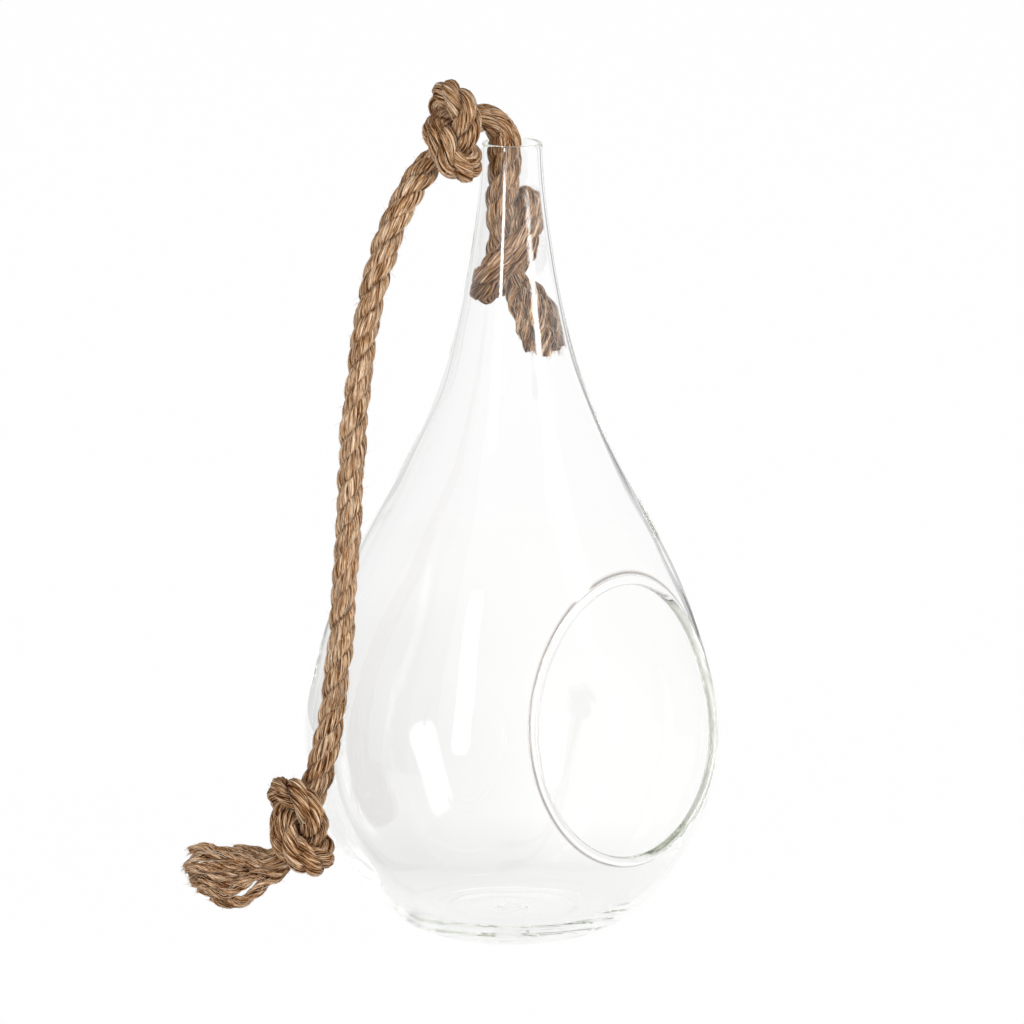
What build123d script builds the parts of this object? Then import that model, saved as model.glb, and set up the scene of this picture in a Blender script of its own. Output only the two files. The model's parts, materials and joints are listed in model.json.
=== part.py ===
from build123d import *
import os
from math import cos, dist, pi, radians, sin, tan

# Drop-shaped glass vase with a round window in its side and a knotted rope in its neck.
# Millimetres, +Z up. The origin is the centre of the base on the table, and the window faces -Y.

# Glass vessel
vessel_height = 300.0
body_radius = 78.2
widest_height = 72.0
mouth_radius = 11.4
body_wall = 2.4
neck_wall = 1.8
base_wall = 5.0
base_radius = 30.0
ring_width = 4.0
kick_up = 1.4
pontil_radius = 6.5
pontil_depth = 0.4

# Outline from the base to the widest place: share of that height, share of the radius gained
lower_outline_shares = [(0.11, 0.38), (0.33, 0.66), (0.67, 0.91)]
# Outline from the widest place to the mouth: share of that height, share of the radius left
upper_outline_shares = [
    (0.14, 0.930),
    (0.28, 0.765),
    (0.42, 0.521),
    (0.56, 0.289),
    (0.70, 0.138),
    (0.84, 0.052),
]
# How much of the extra base thickness is left at each point of the lower outline
base_wall_shares = [0.55, 0.15, 0.0]

# Window: a cone from the vessel's axis, widening towards -Y, leaves through the wall
window_apex_height = 47.0
window_tilt = 25.5
window_half_angle = 33.2
window_lip_radius = 1.8
window_lip_points = 24

# Rope
rope_diameter = 9.5
knot_rope_diameter = 8.2
stopper_rope_diameter = 7.7
strand_diameter = 4.1
swing_clearance = 0.3
knot_end_share = 0.29
strand_lead = 3.0
arc_share = 0.45
measure_step = 0.5
turn_spacing = 14.0

# The rope's route, from its end in the neck to its loose end
inner_tail_start = (5.0, -3.5, 239.0)
stopper_route = [
    (2.0, -1.0, 245.5),
    (-0.5, 2.0, 254.0),
    (-0.5, 7.0, 257.0),
    (3.5, 8.5, 262.5),
    (4.5, 5.5, 269.5),
    (5.0, 4.0, 275.0),
    (4.5, -1.0, 277.5),
    (1.5, -5.5, 276.0),
    (-1.0, -7.0, 272.0),
    (-4.0, -8.0, 262.0),
    (-9.0, -3.0, 258.5),
    (-9.5, 2.0, 254.5),
    (-8.5, 7.0, 250.5),
    (-3.0, 8.5, 247.5),
    (4.0, 10.0, 249.0),
    (8.0, 7.0, 252.5),
    (8.5, 1.5, 258.0),
    (3.5, -1.0, 261.5),
    (-1.0, 0.5, 263.5),
    (-3.5, 1.5, 267.0),
    (-4.0, 2.0, 276.0),
]
neck_route = [(-3.5, 1.5, 287.0), (-3.5, 1.0, 296.0), (-5.0, 0.5, 304.5), (-9.5, 1.0, 311.5)]
upper_route = [
    (-16.0, 4.0, 314.0),
    (-25.5, 7.0, 311.5),
    (-32.5, 7.0, 308.5),
    (-35.0, 0.5, 304.0),
    (-33.5, -0.5, 296.5),
    (-27.5, -2.5, 293.5),
    (-21.5, 2.0, 292.5),
    (-17.5, 4.5, 295.0),
    (-17.0, 9.5, 298.0),
    (-19.5, 13.0, 306.5),
    (-22.0, 16.5, 312.0),
    (-25.0, 14.0, 319.0),
    (-28.0, 7.0, 321.5),
    (-28.0, 0.0, 318.5),
    (-27.0, -2.5, 313.5),
    (-25.0, -1.5, 304.5),
    (-24.0, 4.5, 301.5),
    (-30.0, 8.5, 297.0),
]
drop_route = [
    (-41.0, 8.5, 289.0),
    (-47.5, 8.0, 282.0),
    (-57.0, 8.0, 266.5),
    (-65.0, 8.5, 243.5),
    (-70.5, 9.5, 210.5),
    (-73.5, 9.5, 173.0),
    (-76.0, 10.0, 138.0),
    (-79.0, 10.5, 110.0),
    (-83.0, 11.0, 86.0),
]
lower_route = [
    (-87.0, 12.5, 69.5),
    (-91.5, 13.5, 61.0),
    (-97.0, 14.0, 58.0),
    (-102.0, 13.0, 55.5),
    (-105.0, 8.0, 49.5),
    (-102.0, 4.0, 43.5),
    (-94.0, 4.5, 40.0),
    (-88.5, 9.0, 42.0),
    (-86.5, 13.5, 44.5),
    (-89.0, 19.0, 50.5),
    (-93.0, 23.0, 57.5),
    (-97.0, 22.5, 63.0),
    (-100.5, 17.0, 67.0),
    (-101.0, 7.0, 65.5),
    (-97.5, 3.5, 59.0),
    (-95.0, 6.0, 51.5),
    (-95.0, 11.5, 48.0),
    (-101.5, 15.0, 42.5),
    (-107.5, 14.5, 40.5),
]
outer_tail_start = (-112.0, 18.0, 39.8)
# Where the three strands of each frayed end go, and how far the first is turned about the rope
inner_tail_turn = 48.0
inner_tail_routes = [
    [(10.5, -9.5, 232.0), (12.5, -11.5, 227.0)],
    [(5.5, -6.0, 229.5), (7.0, -6.5, 222.5)],
    [(10.0, -4.0, 230.5), (13.0, -5.5, 225.0)],
]
outer_tail_turn = 0.0
outer_tail_routes = [
    [(-120.0, 24.5, 44.5), (-126.0, 29.0, 46.0), (-132.0, 34.5, 45.5)],
    [(-118.5, 25.5, 38.5), (-125.0, 30.5, 39.5), (-131.0, 35.5, 38.5)],
    [(-118.5, 21.0, 33.0), (-122.0, 24.5, 28.5), (-128.0, 30.5, 29.0)],
]

os.makedirs("parts", exist_ok=True)


def lower_outline():
    """Outer points of the wall between the standing ring and the widest place."""
    return [
        (base_radius + radius * (body_radius - base_radius), height * widest_height)
        for height, radius in lower_outline_shares
    ]


def upper_outline():
    """Outer points of the wall between the widest place and the mouth."""
    return [
        (
            mouth_radius + radius * (body_radius - mouth_radius),
            widest_height + height * (rim_height - widest_height),
        )
        for height, radius in upper_outline_shares
    ]


def inside(curve, point, thickness):
    """The point of the inner wall that faces a point of the outer curve."""
    along = curve % curve.param_at_point(point)
    return Vector(*point) + Vector(-along.Y, along.X) * thickness


# Glass vessel: one turned outline, hollow, with a rounded rim
rim_height = vessel_height - neck_wall / 2
ring_radius = base_radius - ring_width
lower_points = lower_outline()
upper_points = upper_outline()
widest_point = (body_radius, widest_height)
rim_point = (mouth_radius, rim_height)
lower_walls = [body_wall + share * (base_wall - body_wall) for share in base_wall_shares]
upper_walls = [body_wall + height * (neck_wall - body_wall) for height, radius in upper_outline_shares]

with BuildPart() as glass_vessel:
    with BuildSketch(Plane.XZ):
        with BuildLine():
            Line((0, kick_up + pontil_depth), (pontil_radius, kick_up + pontil_depth))
            Line((pontil_radius, kick_up + pontil_depth), (pontil_radius, kick_up))
            TangentArc((pontil_radius, kick_up), (ring_radius, 0), tangent=(1, 0))
            Line((ring_radius, 0), (base_radius, 0))
            outer_wall = Spline(
                (base_radius, 0),
                *lower_points,
                widest_point,
                *upper_points,
                rim_point,
                tangents=[(1, 0), (0, 1)],
                tangent_scalars=[1, 1],
            )
            inner_points = [
                inside(outer_wall, point, thickness)
                for point, thickness in zip(
                    [*lower_points, widest_point, *upper_points],
                    [*lower_walls, body_wall, *upper_walls],
                )
            ]
            floor_point = (0, kick_up + base_wall)
            inner_rim_point = (mouth_radius - neck_wall, rim_height)
            Spline(
                inner_rim_point,
                *reversed(inner_points),
                floor_point,
                tangents=[(0, -1), (-1, 0)],
                tangent_scalars=[1, 1],
            )
            ThreePointArc(rim_point, (mouth_radius - neck_wall / 2, vessel_height), inner_rim_point)
            Line(floor_point, (0, kick_up + pontil_depth))
        make_face()
    revolve(axis=Axis.Z)

    # The window's lip runs round the middle of the wall where the cone leaves it
    apex = Vector(0, 0, window_apex_height)
    facing = Vector(0, -cos(radians(window_tilt)), sin(radians(window_tilt)))
    window_plane = Plane(origin=apex, x_dir=(1, 0, 0), z_dir=facing)
    lip_points = []
    for index in range(window_lip_points):
        turn = 2 * 180 * index / window_lip_points
        edge_way = Vector(0, 0, 1).rotate(Axis.Y, window_half_angle).rotate(Axis.Z, turn)
        ray = Axis(apex, window_plane.from_local_coords(edge_way) - apex)
        wall_hits = [
            point
            for face in glass_vessel.faces()
            for point, normal in face.find_intersection_points(ray)
            if (point - apex).dot(ray.direction) > 0
        ]
        lip_points.append((wall_hits[0] + wall_hits[1]) / 2)
    with Locations(window_plane):
        Cone(
            0,
            2 * body_radius * tan(radians(window_half_angle)),
            2 * body_radius,
            align=(Align.CENTER, Align.CENTER, Align.MIN),
            mode=Mode.SUBTRACT,
        )
    with BuildLine() as lip_line:
        Spline(*lip_points, periodic=True)
    for half_start in (0, 1 / 2):
        lip_half = lip_line.edge().trim(half_start, half_start + 1 / 2)
        outward = (lip_half @ 0) - apex
        into_wall = outward - facing * outward.dot(facing)
        with BuildSketch(Plane(lip_half @ 0, x_dir=into_wall, z_dir=lip_half % 0)):
            Circle(window_lip_radius)
        sweep(path=lip_half)
glass_vessel.part.label = "glass_vessel"
export_step(glass_vessel.part, "parts/glass_vessel.step")


def arc_radii(points):
    """Radius of the arc that rounds each inner corner of a route."""
    radii = []
    for before, corner, after in zip(points, points[1:], points[2:]):
        arriving = Vector(*corner) - Vector(*before)
        leaving = Vector(*after) - Vector(*corner)
        half_turn = radians(arriving.get_angle(leaving)) / 2
        radii.append(arc_share * min(arriving.length, leaving.length) / tan(half_turn))
    return radii


def between(first, second, share=1 / 2):
    """A point on the straight run between two corners."""
    return Vector(*first) + (Vector(*second) - Vector(*first)) * share


def start_plane(line):
    """Plane across the start of a route."""
    path = line.wire()
    return Plane(path @ 0, z_dir=path % 0)


def report_tube(piece, line, diameter, radii):
    """Prints what a swept rope should be: volume against section by length, tightest arc, least gap."""
    path = line.wire()
    count = int(path.length / measure_step)
    points = [tuple(path @ (index / count)) for index in range(count + 1)]
    far = int(turn_spacing / measure_step)
    gaps = [dist(one, other) - diameter for i, one in enumerate(points) for other in points[i + far:]]
    section = pi * diameter**2 / 4
    print(
        piece.part.label,
        "length",
        round(path.length, 2),
        "volume over section by length",
        round(piece.part.volume / (section * path.length), 4),
        "tightest arc",
        round(min(radii), 2),
        "least gap between turns",
        round(min(gaps), 2),
    )


# Rope: every corner of the whole route gets one arc, and the stretches are cut between corners
route = [inner_tail_start, *stopper_route, *neck_route, *upper_route, *drop_route, *lower_route, outer_tail_start]
route_radii = arc_radii(route)
stopper_end = len(stopper_route)
neck_end = stopper_end + len(neck_route)
upper_end = neck_end + len(upper_route)
drop_end = upper_end + len(drop_route)
stopper_radii = route_radii[:stopper_end]
neck_radii = route_radii[stopper_end:neck_end]
upper_radii = route_radii[neck_end:upper_end]
drop_radii = route_radii[upper_end:drop_end]
lower_radii = route_radii[drop_end:]
stopper_neck_cut = between(stopper_route[-1], neck_route[0])
neck_upper_cut = between(neck_route[-1], upper_route[0])
upper_knot_cut = between(upper_route[-1], drop_route[0], knot_end_share)
drop_lower_cut = between(drop_route[-1], lower_route[0])
swing_way = (Vector(*drop_route[0]) - Vector(*upper_route[-1])).normalized()
swing_centre = upper_knot_cut + swing_way * (rope_diameter / 2 + swing_clearance)
print("swing centre", swing_centre)

with BuildPart() as stopper_knot:
    with BuildLine() as stopper_line:
        FilletPolyline(inner_tail_start, *stopper_route, stopper_neck_cut, radius=stopper_radii)
    with BuildSketch(start_plane(stopper_line)):
        Circle(stopper_rope_diameter / 2)
    sweep(path=stopper_line.wire())
stopper_knot.part.label = "stopper_knot"
export_step(stopper_knot.part, "parts/stopper_knot.step")
report_tube(stopper_knot, stopper_line, stopper_rope_diameter, stopper_radii)

with BuildPart() as rope_neck:
    with BuildLine() as neck_line:
        FilletPolyline(stopper_neck_cut, *neck_route, neck_upper_cut, radius=neck_radii)
    with BuildSketch(start_plane(neck_line)):
        Circle(rope_diameter / 2)
    sweep(path=neck_line.wire())
rope_neck.part.label = "rope_neck"
export_step(rope_neck.part, "parts/rope_neck.step")
report_tube(rope_neck, neck_line, rope_diameter, neck_radii)

with BuildPart() as upper_knot:
    with BuildLine() as upper_line:
        FilletPolyline(neck_upper_cut, *upper_route, upper_knot_cut, radius=upper_radii)
    with BuildSketch(start_plane(upper_line)):
        Circle(knot_rope_diameter / 2)
    sweep(path=upper_line.wire())
upper_knot.part.label = "upper_knot"
export_step(upper_knot.part, "parts/upper_knot.step")
report_tube(upper_knot, upper_line, knot_rope_diameter, upper_radii)

# The hanging stretch starts as a ball end, so that it swings clear of the knot above it
with BuildPart() as rope_drop:
    with BuildLine() as drop_line:
        FilletPolyline(swing_centre, *drop_route, drop_lower_cut, radius=drop_radii)
    with BuildSketch(start_plane(drop_line)):
        Circle(rope_diameter / 2)
    sweep(path=drop_line.wire())
    with Locations(Plane(swing_centre, z_dir=-swing_way)):
        Sphere(rope_diameter / 2, arc_size1=0, align=(Align.CENTER, Align.CENTER, Align.MIN))
rope_drop.part.label = "rope_drop"
export_step(rope_drop.part, "parts/rope_drop.step")
report_tube(rope_drop, drop_line, rope_diameter, drop_radii)

with BuildPart() as lower_knot:
    with BuildLine() as lower_line:
        FilletPolyline(drop_lower_cut, *lower_route, outer_tail_start, radius=lower_radii)
    with BuildSketch(start_plane(lower_line)):
        Circle(knot_rope_diameter / 2)
    sweep(path=lower_line.wire())
lower_knot.part.label = "lower_knot"
export_step(lower_knot.part, "parts/lower_knot.step")
report_tube(lower_knot, lower_line, knot_rope_diameter, lower_radii)

# Frayed ends: the three strands leave the rope's end side by side and part
strand_offset = (rope_diameter - strand_diameter) / 2
strand_turn = 360 / 3
stopper_path = stopper_line.wire()
inner_end = Plane(stopper_path @ 0, x_dir=(1, 0, 0), z_dir=-(stopper_path % 0))
lower_path = lower_line.wire()
outer_end = Plane(lower_path @ 1, x_dir=(0, 0, 1), z_dir=lower_path % 1)

with BuildPart() as rope_tail_inner:
    for index, strand_route in enumerate(inner_tail_routes):
        across = Vector(strand_offset, 0).rotate(Axis.Z, inner_tail_turn + index * strand_turn)
        strand_start = inner_end.from_local_coords(across)
        strand_points = [strand_start, strand_start + inner_end.z_dir * strand_lead, *strand_route]
        with BuildLine() as strand_line:
            FilletPolyline(*strand_points, radius=arc_radii(strand_points))
        with BuildSketch(start_plane(strand_line)):
            Circle(strand_diameter / 2)
        sweep(path=strand_line.wire())
rope_tail_inner.part.label = "rope_tail_inner"
export_step(rope_tail_inner.part, "parts/rope_tail_inner.step")

with BuildPart() as rope_tail_outer:
    for index, strand_route in enumerate(outer_tail_routes):
        across = Vector(strand_offset, 0).rotate(Axis.Z, outer_tail_turn + index * strand_turn)
        strand_start = outer_end.from_local_coords(across)
        strand_points = [strand_start, strand_start + outer_end.z_dir * strand_lead, *strand_route]
        with BuildLine() as strand_line:
            FilletPolyline(*strand_points, radius=arc_radii(strand_points))
        with BuildSketch(start_plane(strand_line)):
            Circle(strand_diameter / 2)
        sweep(path=strand_line.wire())
rope_tail_outer.part.label = "rope_tail_outer"
export_step(rope_tail_outer.part, "parts/rope_tail_outer.step")
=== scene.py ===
import json
import math

import bmesh
import bpy
import numpy as np
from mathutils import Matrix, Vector


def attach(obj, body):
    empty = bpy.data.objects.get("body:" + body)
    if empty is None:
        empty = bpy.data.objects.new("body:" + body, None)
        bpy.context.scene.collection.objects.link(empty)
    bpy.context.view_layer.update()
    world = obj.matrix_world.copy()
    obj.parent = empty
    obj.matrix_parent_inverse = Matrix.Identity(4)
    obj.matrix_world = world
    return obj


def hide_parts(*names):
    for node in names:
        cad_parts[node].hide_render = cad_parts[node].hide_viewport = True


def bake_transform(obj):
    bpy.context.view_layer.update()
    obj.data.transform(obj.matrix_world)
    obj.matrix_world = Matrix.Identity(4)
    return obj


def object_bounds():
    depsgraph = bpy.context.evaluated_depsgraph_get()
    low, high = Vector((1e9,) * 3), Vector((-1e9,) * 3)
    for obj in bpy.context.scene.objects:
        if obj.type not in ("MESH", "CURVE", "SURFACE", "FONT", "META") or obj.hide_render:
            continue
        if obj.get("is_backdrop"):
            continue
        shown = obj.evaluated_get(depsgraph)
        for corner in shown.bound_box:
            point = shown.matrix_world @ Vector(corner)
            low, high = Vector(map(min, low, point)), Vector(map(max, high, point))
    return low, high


# Looks of the drop-shaped glass vase with its knotted rope. The frame is in metres, and the sizes
# written here are in millimetres, as in the CAD part.
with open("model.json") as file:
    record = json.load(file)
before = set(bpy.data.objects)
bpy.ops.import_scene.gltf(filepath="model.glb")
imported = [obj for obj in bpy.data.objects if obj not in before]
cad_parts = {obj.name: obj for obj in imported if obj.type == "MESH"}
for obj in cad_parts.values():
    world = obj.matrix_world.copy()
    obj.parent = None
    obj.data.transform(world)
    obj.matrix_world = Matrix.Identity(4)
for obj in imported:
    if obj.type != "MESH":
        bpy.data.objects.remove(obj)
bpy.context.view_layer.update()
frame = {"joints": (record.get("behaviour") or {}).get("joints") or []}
MM = 0.001
rng = np.random.default_rng(11)

# Glass vessel, as in the part
VESSEL_HEIGHT = 300.0
BODY_RADIUS = 78.2
WIDEST_HEIGHT = 72.0
MOUTH_RADIUS = 11.4
BODY_WALL = 2.4
NECK_WALL = 1.8
BASE_WALL = 5.0
BASE_RADIUS = 30.0
RING_WIDTH = 4.0
KICK_UP = 1.4
PONTIL_RADIUS = 6.5
PONTIL_DEPTH = 0.4
LOWER_OUTLINE_SHARES = [(0.11, 0.38), (0.33, 0.66), (0.67, 0.91)]
UPPER_OUTLINE_SHARES = [
    (0.14, 0.930), (0.28, 0.765), (0.42, 0.521), (0.56, 0.289), (0.70, 0.138), (0.84, 0.052),
]
BASE_WALL_SHARES = [0.55, 0.15, 0.0]
WINDOW_APEX = np.array([0, 0, 47.0])
WINDOW_TILT = math.radians(25.5)
WINDOW_HALF_ANGLE = math.radians(33.2)
WINDOW_LIP_RADIUS = 1.8
LIP_MARGIN = math.radians(3.4)
LIP_SHARES = [0.8, 0.62, 0.5, 0.41, 0.34, 0.28, 0.22, 0.16, 0.1, 0.05, 0.0]
BEAD_SHARPNESS = 8
# Where the dark lines of refraction round the window are painted as shade: at the start of its bead and
# along the bead's edge
BEAD_LINE_SHADE = {0.41: 0.4, 0.34: 1.0, 0.28: 0.8, 0.22: 0.2}
EDGE_LINE_SHADE = {5: 0.25, 6: 0.5, 7: 0.6, 8: 0.5, 9: 0.25}
GLASS_SIDES = 216
GLASS_ROW = 1.6
LIP_STEPS = 12
RIM_STEPS = 8
OUTLINE_STEPS = 4000
NECK_STEPS = 2000
# Where the window's edge is looked for, and how its vertices are moved onto it
WINDOW_REACH = (20.0, 140.0)
WINDOW_HALVINGS = 50
EDGE_HALVINGS = 30
EDGE_PASSES = 4
EDGE_SNAP = 0.4
MERGE_DISTANCE = 1e-7
# Soft waves in the wall, which fade out at the window, the rim and the table
OUTER_RIPPLE = 0.05
INNER_RIPPLE = 0.08
RIPPLE_WAVES = 7
RIPPLE_LENGTHS = (28, 50)
RIPPLE_FADE_ANGLE = 0.12
RIPPLE_FADE_RIM = 10.0
RIPPLE_FADE_TABLE = 8.0
# Rings in the floor. A row of waves is a size, a count round the ring and a shift.
FLOOR_ROWS = 44
FLOOR_RIPPLE = 0.09
FLOOR_RIPPLE_LENGTH = 9.0
FLOOR_RIPPLE_RADIUS = 44.0
FLOOR_RIPPLE_FADE = 10.0
FLOOR_WAVES = [(2.2, 2, 0.8), (1.2, 5, 0.0)]
BEAD_WAVES = [(0.02, 5, 1.0), (0.015, 11, 2.0), (0.01, 23, 0.0)]
# Rings of the underside as shares of its radius, and where the pontil scar starts, fades and waves
UNDERSIDE_SHARES = [
    0.97, 0.93, 0.90, 0.875, 0.86, 0.84, 0.78, 0.7, 0.6, 0.5,
    0.4, 0.32, 0.26, 0.235, 0.215, 0.195, 0.175, 0.14, 0.1, 0.05,
]
SCAR_START = 1.12
SCAR_FADE = 0.35
SCAR_WAVES = [(0.16, np.cos, 3, 0.6), (0.13, np.sin, 2, -0.9)]

# The rope's route, from its end in the neck to its loose end
INNER_END = (5.0, -3.5, 239.0)
STOPPER_ROUTE = [
    (2.0, -1.0, 245.5), (-0.5, 2.0, 254.0), (-0.5, 7.0, 257.0), (3.5, 8.5, 262.5),
    (4.5, 5.5, 269.5), (5.5, 3.5, 275.0), (6.5, -2.0, 277.5), (4.5, -6.5, 275.5),
    (0.5, -8.0, 270.0), (-4.5, -8.8, 262.0), (-9.2, -3.0, 254.8), (-10.0, 2.0, 248.8),
    (-8.6, 7.5, 244.8), (-2.5, 9.0, 243.5), (4.0, 10.0, 248.0), (8.0, 7.0, 252.5),
    (8.5, 1.5, 258.0), (3.5, -1.0, 261.5), (-1.0, 0.5, 263.5), (-3.5, 1.5, 267.0),
    (-4.0, 2.0, 276.0),
]
NECK_ROUTE = [(-3.2, 1.2, 287.0), (-3.0, 0.5, 296.0), (-3.8, 0.0, 303.5), (-8.5, 0.5, 309.0)]
UPPER_ROUTE = [
    (-16.0, 4.0, 310.5), (-25.0, 7.0, 309.0), (-32.5, 7.0, 307.5), (-35.0, 0.5, 304.0),
    (-33.5, -0.5, 296.5), (-27.5, -2.5, 293.5), (-21.5, 2.0, 292.5), (-17.5, 4.5, 295.0),
    (-17.0, 9.5, 298.0), (-19.0, 12.0, 306.5), (-20.5, 15.0, 311.5), (-23.0, 12.5, 318.0),
    (-26.0, 5.5, 320.3), (-26.2, -1.5, 317.5), (-26.0, -3.5, 313.0), (-25.0, -1.5, 304.5),
    (-24.0, 4.5, 301.5), (-30.0, 8.5, 297.0),
]
DROP_ROUTE = [
    (-41.0, 8.5, 289.0), (-47.5, 8.0, 282.0), (-57.0, 8.0, 266.5), (-65.0, 8.5, 243.5),
    (-70.5, 9.5, 210.5), (-73.5, 9.5, 173.0), (-76.0, 10.0, 138.0), (-79.0, 10.5, 110.0),
    (-83.0, 11.0, 86.0),
]
LOWER_ROUTE = [
    (-87.0, 12.5, 69.5), (-91.5, 13.5, 61.0), (-97.5, 14.0, 59.0), (-104.0, 13.5, 57.0),
    (-108.0, 9.0, 50.0), (-103.5, 4.0, 43.2), (-94.0, 4.5, 40.0), (-88.5, 9.0, 42.0),
    (-86.5, 13.5, 44.5), (-89.0, 19.0, 50.5), (-92.8, 23.0, 58.0), (-96.8, 22.5, 63.5),
    (-100.5, 17.0, 67.0), (-101.0, 7.0, 65.5), (-97.5, 3.5, 59.0), (-95.0, 6.0, 51.5),
    (-95.0, 11.5, 48.0), (-101.5, 15.0, 42.5), (-107.5, 14.5, 40.5),
]
OUTER_END = (-112.0, 18.0, 39.8)

# Loose yarns at the two ends of the rope, each with its radius
INNER_YARNS = [
    ([(-1.0, -0.5, 247.0), (-2.5, -3.5, 241.0), (-1.8, -6.5, 234.9), (-1.6, -8.2, 229.9),
      (-1.1, -10.9, 222.6)], 2.4),
    ([(1.0, -1.0, 246.0), (1.9, -4.5, 236.8), (2.8, -7.3, 230.3), (3.5, -9.8, 224.1),
      (3.8, -11.1, 220.8)], 2.3),
    ([(1.5, -3.5, 246.5), (2.0, -9.5, 237.5), (3.2, -13.5, 228.6), (2.5, -15.0, 220.6)], 2.3),
    ([(4.0, -3.5, 246.5), (6.5, -8.9, 238.7), (7.8, -11.8, 233.3), (8.3, -13.5, 227.8),
      (8.0, -14.5, 222.0)], 2.4),
    ([(3.5, -4.5, 247.5), (6.5, -9.7, 240.6), (9.2, -12.8, 234.8), (11.0, -14.0, 230.4),
      (12.0, -14.6, 226.5)], 2.3),
    ([(2.5, -5.0, 247.0), (4.5, -10.0, 240.0), (6.0, -14.0, 233.0), (7.5, -15.5, 228.5),
      (9.0, -16.5, 224.0)], 2.2),
    ([(3.5, -0.5, 246.0), (6.3, -4.7, 235.5), (7.2, -7.6, 229.0), (7.1, -9.9, 221.3)], 2.0),
    ([(5.0, -1.5, 246.0), (8.8, -7.5, 234.5), (10.3, -10.8, 228.3), (10.2, -12.6, 222.1)], 1.9),
]
OUTER_YARNS = [
    ([(-106.0, 13.5, 41.5), (-110.0, 19.6, 44.9), (-117.0, 26.6, 45.4)], 1.5),
    ([(-106.0, 13.5, 42.0), (-114.7, 22.9, 43.6), (-121.7, 28.9, 44.1), (-126.2, 33.9, 46.6),
      (-129.7, 36.9, 44.6)], 1.7),
    ([(-105.5, 13.0, 41.5), (-114.5, 19.0, 42.5), (-121.5, 26.0, 43.5), (-127.0, 31.0, 43.5),
      (-130.5, 34.0, 42.5), (-133.0, 35.5, 39.0)], 1.7),
    ([(-105.5, 12.5, 40.5), (-117.3, 18.6, 41.4), (-124.8, 25.1, 39.9), (-131.3, 31.6, 39.4),
      (-134.3, 34.1, 38.9)], 1.8),
    ([(-105.5, 12.5, 39.5), (-115.3, 19.7, 38.8), (-120.3, 24.2, 36.3), (-125.8, 28.7, 35.3),
      (-128.3, 31.7, 36.3), (-131.8, 34.2, 33.8)], 1.8),
    ([(-104.5, 11.5, 39.5), (-108.2, 10.8, 37.7), (-115.7, 17.3, 36.7), (-119.7, 19.3, 32.7),
      (-124.7, 23.3, 29.2), (-127.7, 26.8, 30.7), (-131.7, 30.3, 31.7)], 1.8),
    ([(-104.5, 11.5, 38.8), (-106.8, 11.7, 36.3), (-111.8, 15.2, 33.8), (-115.8, 17.7, 28.8),
      (-119.3, 19.7, 26.3), (-124.8, 25.2, 26.3), (-126.8, 28.2, 28.3)], 1.8),
    ([(-105.5, 13.5, 40.0), (-117.0, 22.5, 39.0), (-124.0, 29.0, 38.0), (-131.0, 36.0, 36.5)], 1.8),
    ([(-105.5, 13.0, 38.5), (-114.0, 19.5, 36.0), (-120.0, 24.0, 32.0), (-127.0, 30.0, 32.5),
      (-131.0, 34.0, 33.0)], 1.7),
]

# Rope and strands
ROPE_DIAMETER = 9.5
LAY_LENGTH = 26.5
RING_STEP = 0.7
STRAND_OFFSET = 2.45
STRAND_RADIAL = 2.35
STRAND_WIDE = 2.75
YARNS = 9
YARN_POINTS = 5
YARN_TWIST = -0.48
YARN_GROOVE = 0.15
STREAK_COLUMNS = 3
SEAM_BEFORE_SWING = 8.0
GLASS_GAP = 0.3
NECK_FROM = 200.0
SPLINE_STEPS = 32
# Unevenness along the rope, each as its size and the length over which it changes
STRAND_WANDER = (0.16, 45.0)
STRAND_SWELL = (0.035, 14.0)
YARN_WANDER = (0.35, 30.0)
YARN_SWELL = (0.05, 25.0)
FIBRE_ROUGHNESS = (0.045, 5.0)
STREAK_TONE = (0.10, 9.0)
YARN_TONE = (0.05, 30.0)
# Colour along the rope: lighter is higher, and painted shade makes the grooves between yarns and strands
# darker
ROPE_TONE = -1.16
LYING_TONE = -1.04
HAIR_TONE = -0.95
LYING_TONE_SPREAD = 0.16
HAIR_TONE_SPREAD = 0.1
GROOVE_SHADE_TONE = 0.16
STRAND_CREVICE_SHADE = (0.55, 1.2)
FIBRE_SPREAD = 4.2
FIBRE_SHIFT = 20
FIBRE_LENGTH = 5.0
# Fibres that lie on the rope, and hairs that leave it
LYING_PER_MM = 15.0
LYING_SPAN = (8, 22)
LYING_RISE = (0.05, 0.3)
LYING_DRIFT = (-3, 3)
LYING_RADIUS = (0.06, 0.11)
HAIRS_PER_MM = 7.0
HAIR_REACH = 7.6
HAIR_ROOT = 0.4
HAIR_LEAN = (0.15, 0.9)
HAIR_STRAY = 0.4
HAIR_BEND = (-0.3, 0.8)
HAIR_BEND_STRAY = 0.3
HAIR_CURL = 0.5
HAIR_RINGS = 5
HAIR_LENGTH = (1.2, 3.4)
HAIR_RADIUS = (0.04, 0.07)
THREAD_SIDES = 3
THREAD_TAPER = 0.6
THREAD_SCATTER = 0.7
# Loose yarns
LOOSE_STEP = 0.7
LOOSE_POINTS = 15
LOOSE_LOBES = 3
LOOSE_LOBE_SIZE = 0.16
LOOSE_TWIST = 0.28
LOOSE_SWELL = (0.07, 6.0)
LOOSE_ROUGHNESS = (0.09, 3.0)
LOOSE_STREAK_TONE = (0.14, 9.0)
# Painted shade: the loose yarns are lighter on their lobes and darker in the grooves between them
LOOSE_LOBE_SHADE_TONE = 0.12
LOOSE_TONE = -0.12
LOOSE_LYING_TONE = -0.08
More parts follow.
